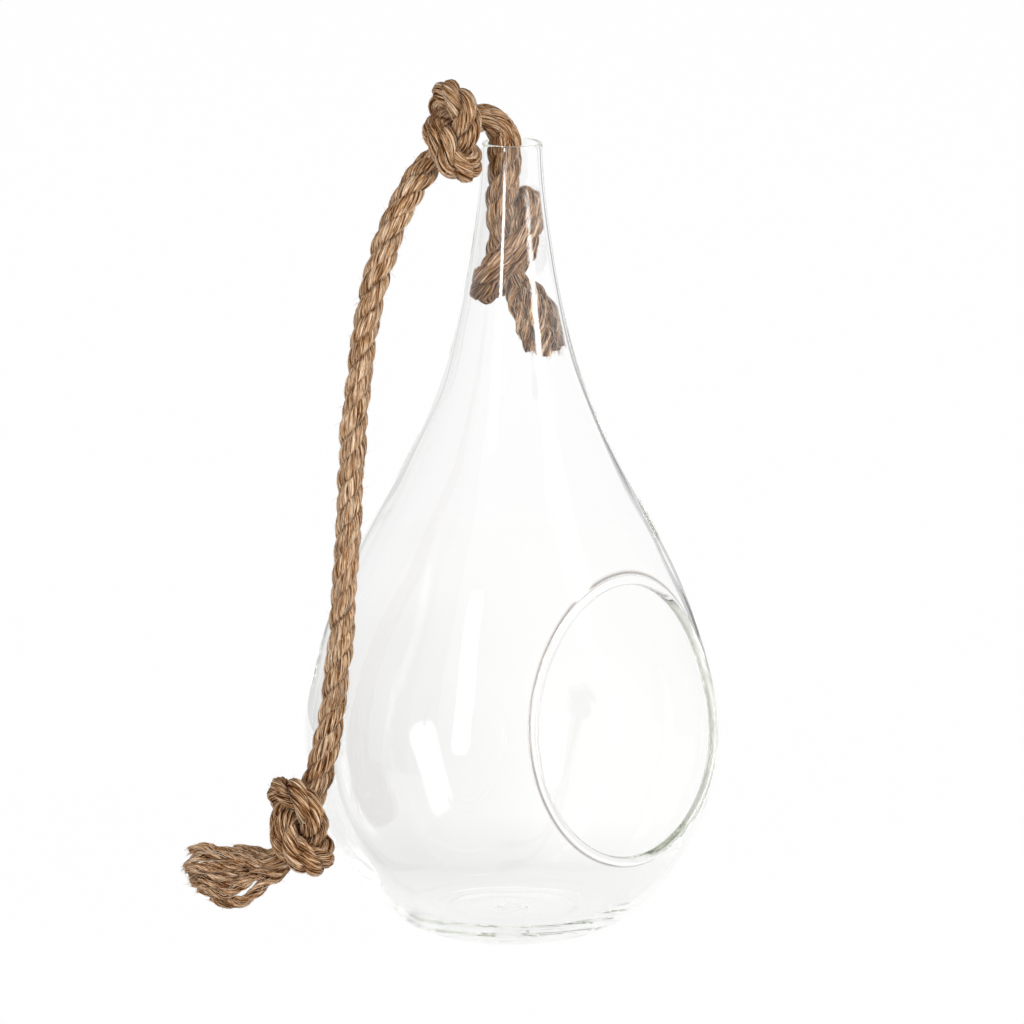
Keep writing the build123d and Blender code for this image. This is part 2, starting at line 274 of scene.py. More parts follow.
# Painted shade in the grooves between a loose yarn's lobes
LOOSE_CREVICE_SHADE = (0.15, 0.75)
LOOSE_FIBRE_SPREAD = 2.2
LOOSE_FIBRE_SHIFT = 7
LOOSE_FIBRE_START = 40
LOOSE_LYING_PER_MM = 7
LOOSE_LYING_SPAN = (8, 18)
LOOSE_HAIRS_PER_MM = 1.2
LOOSE_HAIR_LENGTH = (1.0, 3.0)
LOOSE_BEND_STRAY = 0.4
TIP_LENGTH = 7
TIP_SIZE = 0.7
TIP_HAIRS = 26
TIP_STRAY = 0.3
TIP_BEND_STRAY = 0.5
TIP_HAIR_LENGTH = (0.8, 2.6)
TIP_HAIR_RADIUS = (0.06, 0.12)


def unit(vectors):
    """Vectors of length one."""
    return vectors / np.maximum(np.linalg.norm(vectors, axis=-1, keepdims=True), 1e-12)


def lengths(line):
    """Distance along a line to each of its points."""
    return np.concatenate([[0], np.cumsum(np.linalg.norm(np.diff(line, axis=0), axis=1))])


def even(line, step):
    """A line's points again, the same distance apart."""
    along = lengths(line)
    at = np.linspace(0, along[-1], max(3, int(along[-1] / step) + 1))
    return np.stack([np.interp(at, along, line[:, k]) for k in range(3)], axis=1)


def smooth_noise(places, unevenness, seed_shape=()):
    """Seeded values that change smoothly along a line, one line per entry of seed_shape."""
    size, scale = unevenness
    knots = rng.normal(size=(int(places[-1] / scale) + 3, *seed_shape))
    where = places / scale
    index = where.astype(int)
    share = (where - index).reshape(-1, *[1] * len(seed_shape))
    share = share * share * (3 - 2 * share)
    return size * (knots[index] * (1 - share) + knots[index + 1] * share)


def column_noise(places, unevenness, groups, columns):
    """Smooth noise in which neighbouring columns share a value."""
    return np.repeat(smooth_noise(places, unevenness, (groups,)), columns, axis=1)


def waves(turn, table):
    """Waves round a ring, added up."""
    return sum(size * np.sin(count * turn + shift) for size, count, shift in table)


def new_object(name, vertices, faces, material):
    """A smooth mesh object from millimetres."""
    mesh = bpy.data.meshes.new(name)
    mesh.from_pydata((np.asarray(vertices) * MM).tolist(), [], faces)
    mesh.polygons.foreach_set("use_smooth", [True] * len(mesh.polygons))
    mesh.materials.append(material)
    mesh.update()
    made = bpy.data.objects.new(name, mesh)
    bpy.context.scene.collection.objects.link(made)
    return made


def add_attribute(piece, name, values):
    """A value or a vector for each vertex, for the material."""
    values = np.asarray(values, float)
    kind, field = ("FLOAT", "value") if values.ndim == 1 else ("FLOAT_VECTOR", "vector")
    piece.data.attributes.new(name, kind, "POINT").data.foreach_set(field, values.ravel())


def nurbs_line(points):
    """Points of the smooth spline that has the given points as its control points."""
    curve = bpy.data.curves.new("route", "CURVE")
    curve.dimensions = "3D"
    curve.resolution_u = SPLINE_STEPS
    spline = curve.splines.new("NURBS")
    spline.points.add(len(points) - 1)
    for point, place in zip(spline.points, points):
        point.co = (*place, 1)
    spline.order_u = 3
    spline.use_endpoint_u = True
    holder = bpy.data.objects.new("route", curve)
    mesh = bpy.data.meshes.new_from_object(holder)
    line = np.array([v.co for v in mesh.vertices], float)
    bpy.data.meshes.remove(mesh)
    bpy.data.objects.remove(holder)
    bpy.data.curves.remove(curve)
    return line


def carried_frames(line):
    """Tangents, and two directions across the line that are carried along it without twist."""
    tangents = unit(np.gradient(line, axis=0))
    across = [unit(np.cross(tangents[0], (0.3, 0.5, 0.8)))]
    for tangent in tangents[1:]:
        across.append(unit(across[-1] - tangent * np.dot(across[-1], tangent)))
    across = np.array(across)
    return tangents, across, np.cross(tangents, across)


def node_material(name):
    """A new material, its node tree and its shader node."""
    material = bpy.data.materials.new(name)
    material.use_nodes = True
    return material, material.node_tree, material.node_tree.nodes["Principled BSDF"]


def set_inputs(node, **values):
    """Numbers and colours on a node's own sockets, with _ for each blank in their names."""
    for name, value in values.items():
        node.inputs[name.replace("_", " ")].default_value = value


def attribute(tree, name):
    """A node that reads one of the mesh's attributes."""
    made = tree.nodes.new("ShaderNodeAttribute")
    made.attribute_name = name
    return made


def joined(tree, operation, first, second):
    """Two values of a node tree put together."""
    made = tree.nodes.new("ShaderNodeMath")
    made.operation = operation
    tree.links.new(first, made.inputs[0])
    tree.links.new(second, made.inputs[1])
    return made.outputs["Value"]


def ranged(tree, value, low, high, start=0.0, stop=1.0, kind="LINEAR"):
    """A value from start to stop spread between two others."""
    spread = tree.nodes.new("ShaderNodeMapRange")
    spread.interpolation_type = kind
    set_inputs(spread, From_Min=start, From_Max=stop, To_Min=low, To_Max=high)
    tree.links.new(value, spread.inputs["Value"])
    return spread.outputs["Result"]


# Camera at the photograph's viewing angle
CAMERA_TARGET = Vector((0, 0, 0.1593))
CAMERA_DISTANCE = 2.58
CAMERA_AZIMUTH = math.radians(-43.5)
CAMERA_ELEVATION = math.radians(12.5)


def direction(azimuth, elevation):
    """Unit vector from the object, with azimuth 0 towards -Y."""
    return Vector((
        math.sin(azimuth) * math.cos(elevation),
        -math.cos(azimuth) * math.cos(elevation),
        math.sin(elevation),
    ))


def facing_target(name, data, way, distance):
    """A camera or a lamp that stands away from the object and faces it."""
    made = bpy.data.objects.new(name, data)
    made.location = CAMERA_TARGET + way * distance
    made.rotation_mode = "QUATERNION"
    made.rotation_quaternion = (-way).to_track_quat("-Z", "Y")
    bpy.context.scene.collection.objects.link(made)
    return made


towards_camera = direction(CAMERA_AZIMUTH, CAMERA_ELEVATION)
camera_data = bpy.data.cameras.new("camera")
camera_data.sensor_width = 36
camera_data.lens = 241.6
camera_data.clip_start = 0.05
camera_data.clip_end = 50
bpy.context.scene.camera = facing_target("camera", camera_data, towards_camera, CAMERA_DISTANCE)


def glass_material():
    """Clear glass with a faint green in its thickness, and painted shade: dark lines of refraction where
    its mesh says so.
    """
    material, tree, shader = node_material("clear_glass")
    # Painted shade: the dark lines that refraction shows round the window are mixed into the glass colour
    painted_line_tint = tree.nodes.new("ShaderNodeMix")
    painted_line_tint.data_type = "RGBA"
    set_inputs(painted_line_tint, A=(1, 1, 1, 1), B=(0.2, 0.16, 0.13, 1))
    tree.links.new(attribute(tree, "line").outputs["Fac"], painted_line_tint.inputs["Factor"])
    tree.links.new(painted_line_tint.outputs["Result"], shader.inputs["Base Color"])
    set_inputs(shader, Roughness=0.0, IOR=1.5, Transmission_Weight=1.0)
    absorption = tree.nodes.new("ShaderNodeVolumeAbsorption")
    set_inputs(absorption, Color=(0.80, 0.85, 0.74, 1), Density=1.3)
    tree.links.new(absorption.outputs["Volume"], tree.nodes["Material Output"].inputs["Volume"])
    return material


# Colours of the jute by tone
JUTE_COLOURS = [
    (0.12, (0.065, 0.021, 0.006, 1)),
    (0.34, (0.275, 0.118, 0.041, 1)),
    (0.54, (0.53, 0.298, 0.142, 1)),
    (0.72, (0.79, 0.56, 0.35, 1)),
    (0.92, (0.96, 0.78, 0.59, 1)),
]
JUTE_STREAKS = 3.4


def jute_material():
    """Jute yarn: straw fibres streaked with brown, with painted shade that darkens them between the yarns
    and the strands.
    """
    material, tree, shader = node_material("jute")
    nodes = tree.nodes
    links = tree.links
    fibre = attribute(tree, "fibre")
    tone = attribute(tree, "tone")
    crevice_shade = attribute(tree, "crevice_shade")

    streaks = nodes.new("ShaderNodeTexNoise")
    set_inputs(streaks, Scale=1.2, Detail=4.0, Roughness=0.65)
    links.new(fibre.outputs["Vector"], streaks.inputs["Vector"])

    mixed = nodes.new("ShaderNodeMath")
    mixed.operation = "MULTIPLY_ADD"
    mixed.inputs[1].default_value = JUTE_STREAKS
    links.new(streaks.outputs["Fac"], mixed.inputs[0])
    links.new(tone.outputs["Fac"], mixed.inputs[2])

    ramp = nodes.new("ShaderNodeValToRGB")
    stops = ramp.color_ramp.elements
    stops.remove(stops[1])
    for position, color in JUTE_COLOURS:
        stops.new(position).color = color
    stops.remove(stops[0])
    links.new(mixed.outputs[0], ramp.inputs["Fac"])

    # Painted shade: the colour is multiplied darker in the crevices between the strands
    shade_in_crevices = nodes.new("ShaderNodeMix")
    shade_in_crevices.data_type = "RGBA"
    shade_in_crevices.blend_type = "MULTIPLY"
    set_inputs(shade_in_crevices, B=(0.2, 0.075, 0.022, 1))
    links.new(crevice_shade.outputs["Fac"], shade_in_crevices.inputs["Factor"])
    links.new(ramp.outputs["Color"], shade_in_crevices.inputs["A"])
    links.new(shade_in_crevices.outputs["Result"], shader.inputs["Base Color"])

    bump = nodes.new("ShaderNodeBump")
    set_inputs(bump, Strength=0.6, Distance=0.0003)
    links.new(streaks.outputs["Fac"], bump.inputs["Height"])
    links.new(bump.outputs["Normal"], shader.inputs["Normal"])
    set_inputs(shader, Roughness=0.8, Specular_IOR_Level=0.06)
    return material


glass = glass_material()
jute = jute_material()


def curve_through(points, start_way, end_way):
    """A smooth plane curve through points, as a function of the point number."""
    points = np.array(points, float)
    gaps = np.linalg.norm(np.diff(points, axis=0), axis=1)
    slopes = np.diff(points, axis=0) / gaps[:, None]
    last = len(points) - 1
    matrix = np.eye(last + 1)
    right = np.zeros((last + 1, 2))
    right[0] = start_way
    right[last] = end_way
    for k in range(1, last):
        matrix[k, k - 1:k + 2] = gaps[k], 2 * (gaps[k - 1] + gaps[k]), gaps[k - 1]
        right[k] = 3 * (gaps[k] * slopes[k - 1] + gaps[k - 1] * slopes[k])
    ways = np.linalg.solve(matrix, right)

    def at(number):
        number = np.asarray(number, float)
        span = np.clip(number.astype(int), 0, last - 1)
        s = (number - span)[..., None]
        gap = gaps[span][..., None]
        return (
            points[span] * (2 * s**3 - 3 * s**2 + 1)
            + points[span + 1] * (3 * s**2 - 2 * s**3)
            + gap * ways[span] * (s**3 - 2 * s**2 + s)
            + gap * ways[span + 1] * (s**3 - s**2)
        )

    return at, ways


# Outlines of the glass, outside and inside, as radius and height
rim_height = VESSEL_HEIGHT - NECK_WALL / 2
lower_points = [
    (BASE_RADIUS + radius * (BODY_RADIUS - BASE_RADIUS), height * WIDEST_HEIGHT)
    for height, radius in LOWER_OUTLINE_SHARES
]
upper_points = [
    (
        MOUTH_RADIUS + radius * (BODY_RADIUS - MOUTH_RADIUS),
        WIDEST_HEIGHT + height * (rim_height - WIDEST_HEIGHT),
    )
    for height, radius in UPPER_OUTLINE_SHARES
]
outer_points = [
    (BASE_RADIUS, 0), *lower_points, (BODY_RADIUS, WIDEST_HEIGHT), *upper_points, (MOUTH_RADIUS, rim_height)
]
walls = [
    *[BODY_WALL + share * (BASE_WALL - BODY_WALL) for share in BASE_WALL_SHARES],
    BODY_WALL,
    *[BODY_WALL + height * (NECK_WALL - BODY_WALL) for height, radius in UPPER_OUTLINE_SHARES],
]
outer_wall, outer_ways = curve_through(outer_points, (1, 0), (0, 1))
inner_points = [
    np.array(point) + np.array([-way[1], way[0]]) / np.linalg.norm(way) * wall
    for point, way, wall in zip(outer_points[1:-1], outer_ways[1:-1], walls)
]
inner_wall, _ = curve_through(
    [(0, KICK_UP + BASE_WALL), *inner_points, (MOUTH_RADIUS - NECK_WALL, rim_height)], (1, 0), (0, 1)
)
LAST_POINT = len(outer_points) - 1
WIDEST_POINT = len(lower_points) + 1
facing = np.array([0, -math.cos(WINDOW_TILT), math.sin(WINDOW_TILT)])
window_side = np.array([1.0, 0, 0])
window_up = np.cross(facing, window_side)


def turned(profile, turn):
    """Points of an outline turned about the vessel's axis."""
    x = profile[..., 0] * np.cos(turn)
    y = profile[..., 0] * np.sin(turn)
    return np.stack([x, y, profile[..., 1]], axis=-1)


def middle_of_wall(number, turn):
    """The place halfway through the wall."""
    return turned((outer_wall(number) + inner_wall(number)) / 2, turn)


def across_wall(number, turn):
    """The middle of the wall, the way out through it and half its thickness."""
    outside = turned(outer_wall(number), turn)
    inside = turned(inner_wall(number), turn)
    half = np.linalg.norm(outside - inside, axis=1) / 2
    return (outside + inside) / 2, unit(outside - inside), half


def beyond_window(number, turn):
    """Angle between a place on the wall and the start of the window's bead, less than zero inside it."""
    ray = unit(middle_of_wall(number, turn) - WINDOW_APEX)
    return np.arccos(np.clip(ray @ facing, -1, 1)) - WINDOW_HALF_ANGLE - LIP_MARGIN


def window_place(around, angle):
    """Places on the wall round the window, as point number and turn, at an angle from its axis."""
    ways = facing * math.cos(angle) + math.sin(angle) * (
        np.cos(around)[:, None] * window_side + np.sin(around)[:, None] * window_up
    )
    numbers = np.linspace(1, LAST_POINT, OUTLINE_STEPS)
    wall = (outer_wall(numbers) + inner_wall(numbers)) / 2
    near, far = [np.full(len(around), reach) for reach in WINDOW_REACH]
    for _ in range(WINDOW_HALVINGS):
        half = (near + far) / 2
        places = WINDOW_APEX + ways * half[:, None]
        beyond = np.hypot(places[:, 0], places[:, 1]) > np.interp(places[:, 2], wall[:, 1], wall[:, 0])
        near = np.where(beyond, near, half)
        far = np.where(beyond, half, far)
    return np.interp(places[:, 2], wall[:, 1], numbers), np.arctan2(places[:, 1], places[:, 0])


def wall_grid():
    """Vertices of the wall as point number and turn, and its faces, with the window left out."""
    fine = np.linspace(0, LAST_POINT, OUTLINE_STEPS)
    outline = outer_wall(fine)
    along = lengths(outline)
    rows = int(along[-1] / GLASS_ROW) + 1
    row_numbers = np.interp(np.linspace(0, along[-1], rows), along, fine)
    wall_rows = row_numbers[row_numbers >= 1]
    row_numbers = np.concatenate([np.linspace(0, 1, FLOOR_ROWS, endpoint=False), wall_rows])
    rows = len(row_numbers)
    number = np.repeat(row_numbers[:, None], GLASS_SIDES, axis=1)
    turn = np.repeat(2 * math.pi * np.arange(GLASS_SIDES)[None, :] / GLASS_SIDES, rows, axis=0)
    edge = beyond_window(number, turn)

    # Vertices close to the window's edge move onto it
    row_slope = np.gradient(edge, axis=0)
    side_slope = (np.roll(edge, -1, axis=1) - np.roll(edge, 1, axis=1)) / 2
    steep = row_slope**2 + side_slope**2
    near = np.abs(edge) < EDGE_SNAP * np.sqrt(steep)
    row_size = np.gradient(row_numbers)[:, None]
    side_size = 2 * math.pi / GLASS_SIDES
    for _ in range(EDGE_PASSES):
        error = np.where(near, beyond_window(number, turn) / steep, 0)
        number = number - error * row_slope * row_size
        turn = turn - error * side_slope * side_size
    edge = np.where(near, 0, beyond_window(number, turn))

    places = [(number[r, c], turn[r, c]) for r in range(rows) for c in range(GLASS_SIDES)]
    values = edge.ravel()
    crossings = {}

    def crossing(a, b):
        """The vertex where the window's edge crosses a line of the grid."""
        key = (min(a, b), max(a, b))
        if key not in crossings:
            kept, lost = (a, b) if values[a] > 0 else (b, a)
            first = np.array(places[kept])
            last = np.array(places[lost])
            last[1] = first[1] + math.remainder(last[1] - first[1], 2 * math.pi)
            low, high = 0.0, 1.0
            for _ in range(EDGE_HALVINGS):
                half = (low + high) / 2
                if beyond_window(*(first + (last - first) * half)) > 0:
                    low = half
                else:
                    high = half
            crossings[key] = len(places)
            places.append(tuple(first + (last - first) * low))
        return crossings[key]

    faces = []
    for r in range(rows - 1):
        for c in range(GLASS_SIDES):
            n = (c + 1) % GLASS_SIDES
            row = r * GLASS_SIDES
            above = row + GLASS_SIDES
            corners = [row + c, row + n, above + n, above + c]
            if all(values[k] >= 0 for k in corners):
                faces.append(corners)
                continue
            outline = []
            for a, b in zip(corners, corners[1:] + corners[:1]):
                if values[a] >= 0:
                    outline.append(a)
                if values[a] * values[b] < 0:
                    outline.append(crossing(a, b))
            if len(outline) >= 3:
                faces.append(outline)
    return np.array(places), faces, rows


def window_loop(faces, rows):
    """The wall's vertices round the window, in order."""
    edges = {(a, b) for face in faces for a, b in zip(face, face[1:] + face[:1])}
    first_row = GLASS_SIDES
    last_row = (rows - 1) * GLASS_SIDES
    grid = rows * GLASS_SIDES
    following = {}
    for a, b in edges:
        on_border = max(a, b) < first_row or (min(a, b) >= last_row and max(a, b) < grid)
        if (b, a) not in edges and not on_border:
            following[a] = b
    start = next(iter(following))
    loop = [start]
    while following[loop[-1]] != start:
        loop.append(following[loop[-1]])
    return loop


def ripple(points):
    """Seeded soft waves of about one, as blown glass has."""
    total = np.zeros(len(points))
    for _ in range(RIPPLE_WAVES):
        way = unit(rng.normal(size=3))
        length = rng.uniform(*RIPPLE_LENGTHS)
        total += np.sin(points @ way * 2 * math.pi / length + rng.uniform(0, 2 * math.pi))
    return total / math.sqrt(RIPPLE_WAVES / 2)


def glass_mesh():
    """The whole vessel as one closed skin: outside, rim, inside, and the rounded lip of the window."""
    places, wall_faces, rows = wall_grid()
    loop = window_loop(wall_faces, rows)
    number = places[:, 0]
    turn = places[:, 1]
    middle, across, half = across_wall(number, turn)
    fade = (
        np.clip(beyond_window(number, turn) / RIPPLE_FADE_ANGLE, 0, 1)
        * np.clip((rim_height - middle[:, 2]) / RIPPLE_FADE_RIM, 0, 1)
        * np.clip(middle[:, 2] / RIPPLE_FADE_TABLE, 0, 1)
    )
    fade[loop] = 0
    outside = middle + across * (half + fade * OUTER_RIPPLE * ripple(middle))[:, None]
    inside = middle - across * (half + fade * INNER_RIPPLE * ripple(middle))[:, None]

    # Rings in the floor of the vessel, as its blowing left them
    radius = np.hypot(inside[:, 0], inside[:, 1])
    on_floor = np.clip((FLOOR_RIPPLE_RADIUS - radius) / FLOOR_RIPPLE_FADE, 0, 1) * (number < 1)
    uneven = radius / FLOOR_RIPPLE_RADIUS * waves(turn, FLOOR_WAVES)
    floor_rings = np.cos(2 * math.pi * (radius + uneven) / FLOOR_RIPPLE_LENGTH)
    inside[:, 2] += on_floor * FLOOR_RIPPLE * floor_rings

    count = len(places)
    vertices = [outside, inside]
    lines = [np.zeros(2 * count)]
    faces = [tuple(face) for face in wall_faces]
    faces += [tuple(count + k for k in reversed(face)) for face in wall_faces]
    sides = np.arange(GLASS_SIDES)
    ring_turn = 2 * math.pi * sides / GLASS_SIDES

    def add_ring(points, line=0.0):
        """Adds vertices with the strength of their painted dark line of refraction, and gives their
        numbers.
        """
        first = sum(len(group) for group in vertices)
        vertices.append(points)
        lines.append(np.full(len(points), line))
        return first + np.arange(len(points))

    def join(ring_a, ring_b):
        """Adds the faces between two rings."""
        for k in range(len(ring_a)):
            n = (k + 1) % len(ring_a)
            faces.append((ring_a[k], ring_a[n], ring_b[n], ring_b[k]))

    # Rim
    top_ring = (rows - 1) * GLASS_SIDES + sides
    before = top_ring
    for step in range(1, RIM_STEPS):
        angle = math.pi * step / RIM_STEPS
        radius = MOUTH_RADIUS - NECK_WALL / 2 + NECK_WALL / 2 * math.cos(angle)
        height = rim_height + NECK_WALL / 2 * math.sin(angle)
        ring = add_ring(turned(np.array([[radius, height]] * GLASS_SIDES), ring_turn))
        join(before, ring)
        before = ring
    join(before, count + top_ring)

    # Underside: standing ring, kick-up and pontil scar
    ring_radius = BASE_RADIUS - RING_WIDTH
    arc_radius = ((ring_radius - PONTIL_RADIUS) ** 2 + KICK_UP**2) / (2 * KICK_UP)
    before = sides
    for share in UNDERSIDE_SHARES:
        radius = share * BASE_RADIUS
        inwards = np.clip(radius - PONTIL_RADIUS, 0, None)
        height = KICK_UP - inwards**2 / (2 * arc_radius) if radius < ring_radius else 0
        scar = np.clip((SCAR_START * PONTIL_RADIUS - radius) / (SCAR_FADE * PONTIL_RADIUS), 0, 1)
        scar = scar * scar * (3 - 2 * scar)
        wave = sum(
            size * shape(waves_round * ring_turn + slant * radius)
            for size, shape, waves_round, slant in SCAR_WAVES
        )
        heights = height + scar * (PONTIL_DEPTH + wave)
        ring = add_ring(turned(np.stack([np.full(GLASS_SIDES, radius), heights], axis=1), ring_turn))
        join(ring, before)
        before = ring
    centre = add_ring(np.array([[0, 0, KICK_UP + PONTIL_DEPTH]]))[0]
    for k in range(GLASS_SIDES):
        faces.append((before[k], centre, before[(k + 1) % GLASS_SIDES]))

    # Rings from the wall to the window's lip, along which the wall thickens into a bead
    rays = middle[loop] - WINDOW_APEX
    around = np.arctan2(rays @ window_up, rays @ window_side)
    rings = [window_place(around, WINDOW_HALF_ANGLE + share * LIP_MARGIN) for share in LIP_SHARES]
    lip_line = middle_of_wall(*rings[-1])
    bead_size = 1 + waves(around, BEAD_WAVES)
    ring_outer = np.array(loop)
    ring_inner = count + ring_outer
    for share, ring in zip(LIP_SHARES, rings):
        ring_middle, ring_across, ring_half = across_wall(*ring)
        distance = np.linalg.norm(ring_middle - lip_line, axis=1)
        bead = np.sqrt(np.clip((WINDOW_LIP_RADIUS * bead_size) ** 2 - distance**2, 0, None))
        thick = ((ring_half**BEAD_SHARPNESS + bead**BEAD_SHARPNESS) ** (1 / BEAD_SHARPNESS))[:, None]
        # Each ring of the bead carries the strength of its painted dark line of refraction
        next_outer = add_ring(ring_middle + ring_across * thick, BEAD_LINE_SHADE.get(share, 0.0))
        next_inner = add_ring(ring_middle - ring_across * thick)
        join(next_outer, ring_outer)
        join(ring_inner, next_inner)
        ring_outer = next_outer
        ring_inner = next_inner

    # The bead's rounded edge
    ways = unit(np.roll(lip_line, -1, axis=0) - np.roll(lip_line, 1, axis=0))
    into_window = unit(np.cross(ways, ring_across))
    to_axis = WINDOW_APEX + facing * ((lip_line - WINDOW_APEX) @ facing)[:, None] - lip_line
    into_window *= np.sign((into_window * to_axis).sum(1))[:, None]
    before = ring_outer
    for step in range(1, LIP_STEPS):
        angle = math.pi / 2 - math.pi * step / LIP_STEPS
        way = math.cos(angle) * into_window + math.sin(angle) * ring_across
        # The bead's rounded edge carries painted dark lines of refraction
        ring = add_ring(lip_line + thick * way, EDGE_LINE_SHADE.get(step, 0.0))
        join(ring, before)
        before = ring
    join(ring_inner, before)
    return np.concatenate(vertices), faces, np.concatenate(lines)


def close_mesh(piece):
    """Drops vertices that no face uses, merges doubles and points the faces outwards."""
    shape = bmesh.new()
    shape.from_mesh(piece.data)
    bmesh.ops.remove_doubles(shape, verts=shape.verts, dist=MERGE_DISTANCE)
    bmesh.ops.delete(shape, geom=[v for v in shape.verts if not v.link_faces], context="VERTS")
    bmesh.ops.recalc_face_normals(shape, faces=shape.faces)
    shape.to_mesh(piece.data)
    shape.free()


glass_vertices, glass_faces, glass_line_shade = glass_mesh()
glass_faces = [tuple(int(k) for k in face) for face in glass_faces]
vessel = new_object("clear_vessel", glass_vertices, glass_faces, glass)
# Painted shade: the strengths of the dark lines of refraction, which the glass colour reads
add_attribute(vessel, "line", glass_line_shade)
close_mesh(vessel)
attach(vessel, "vessel")
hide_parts("glass_vessel")

# The whole rope follows one spline, and is cut into two cords where it leaves the upper knot
rope_route = [INNER_END, *STOPPER_ROUTE, *NECK_ROUTE, *UPPER_ROUTE, *DROP_ROUTE, *LOWER_ROUTE, OUTER_END]
rope_line = even(nurbs_line(rope_route), RING_STEP)
rope_along = lengths(rope_line)
rope_ways, rope_across, rope_beside = carried_frames(rope_line)


def nearest_ring(point):
    """The number of the rope's ring that is nearest to a point."""
    return int(np.linalg.norm(rope_line - np.array(point), axis=1).argmin())


def along_route(table):
    """Values given at points of the route, spread along the rope."""
    rings = [nearest_ring(point) for point, value in table]
    return np.interp(rope_along, rope_along[rings], [value for point, value in table])


swing = next(joint for joint in frame["joints"] if joint["name"] == "rope_swing")
swing_place = np.array(swing["pos_m"]) / MM
swing_index = nearest_ring(swing_place)
seam_index = swing_index - round(SEAM_BEFORE_SWING / RING_STEP)


# How thick the rope is along its route, as a share of its thickness where it hangs
THICKNESS_AT = [
    (INNER_END, 0.9), (STOPPER_ROUTE[1], 1.1), (STOPPER_ROUTE[5], 1.24), (STOPPER_ROUTE[13], 1.24),
    (STOPPER_ROUTE[-4], 1.08), (NECK_ROUTE[0], 1.26), (NECK_ROUTE[1], 1.26), (NECK_ROUTE[-1], 1.1),
    (UPPER_ROUTE[2], 1.16), (UPPER_ROUTE[-2], 1.14),
    (DROP_ROUTE[2], 1.0), (DROP_ROUTE[-1], 1.0), (LOWER_ROUTE[1], 1.17), (LOWER_ROUTE[-2], 1.12),
    (OUTER_END, 0.8),
]
thickness = along_route(THICKNESS_AT)

# How much darker or lighter the rope is along its route: its knots are darker
SHADE_AT = [
    (STOPPER_ROUTE[-1], -0.11), (NECK_ROUTE[1], -0.10), (NECK_ROUTE[-1], -0.02),
    (UPPER_ROUTE[3], -0.05), (UPPER_ROUTE[-1], -0.03),
    (DROP_ROUTE[2], 0.03), (DROP_ROUTE[-2], 0.03), (LOWER_ROUTE[2], -0.11), (OUTER_END, -0.11),
]
shade = along_route(SHADE_AT)

fine_numbers = np.linspace(WIDEST_POINT, LAST_POINT, NECK_STEPS)
inner_fine = inner_wall(fine_numbers)
outer_fine = outer_wall(fine_numbers)


def inside_glass(points):
    """Points in the neck, with those that would enter the glass moved inwards to its inner wall."""
    radius = np.hypot(points[..., 0], points[..., 1])
    height = points[..., 2]
    room = np.interp(height, inner_fine[:, 1], inner_fine[:, 0]) - GLASS_GAP
    reach = np.interp(height, outer_fine[:, 1], outer_fine[:, 0]) + GLASS_GAP
    in_neck = (height > NECK_FROM) & (height < VESSEL_HEIGHT + GLASS_GAP)
    pressed = in_neck & (radius < reach) & (radius > room)
    share = np.where(pressed, room / np.maximum(radius, 1e-6), 1)
    return np.stack([points[..., 0] * share, points[..., 1] * share, height], axis=-1)


def tube_faces(rings, points, base):
    """Faces of a closed tube of rings, with its ends capped."""
    faces = []
    for ring in range(rings - 1):
        a = base + ring * points
        b = a + points
        for k in range(points):
            n = (k + 1) % points
            faces.append((a + k, a + n, b + n, b + k))
    faces.append(tuple(base + k for k in reversed(range(points))))
    faces.append(tuple(base + (rings - 1) * points + k for k in range(points)))
    return faces


def fibre_places(own, along, spread, shift, start=0):
    """Coordinates in which the jute's streaks run along a yarn, away from those of the others."""
    across = spread * np.cos(own) + shift
    beside = spread * np.sin(own)
    return np.stack(np.broadcast_arrays(across, beside, along[:, None] / FIBRE_LENGTH + start), axis=-1)


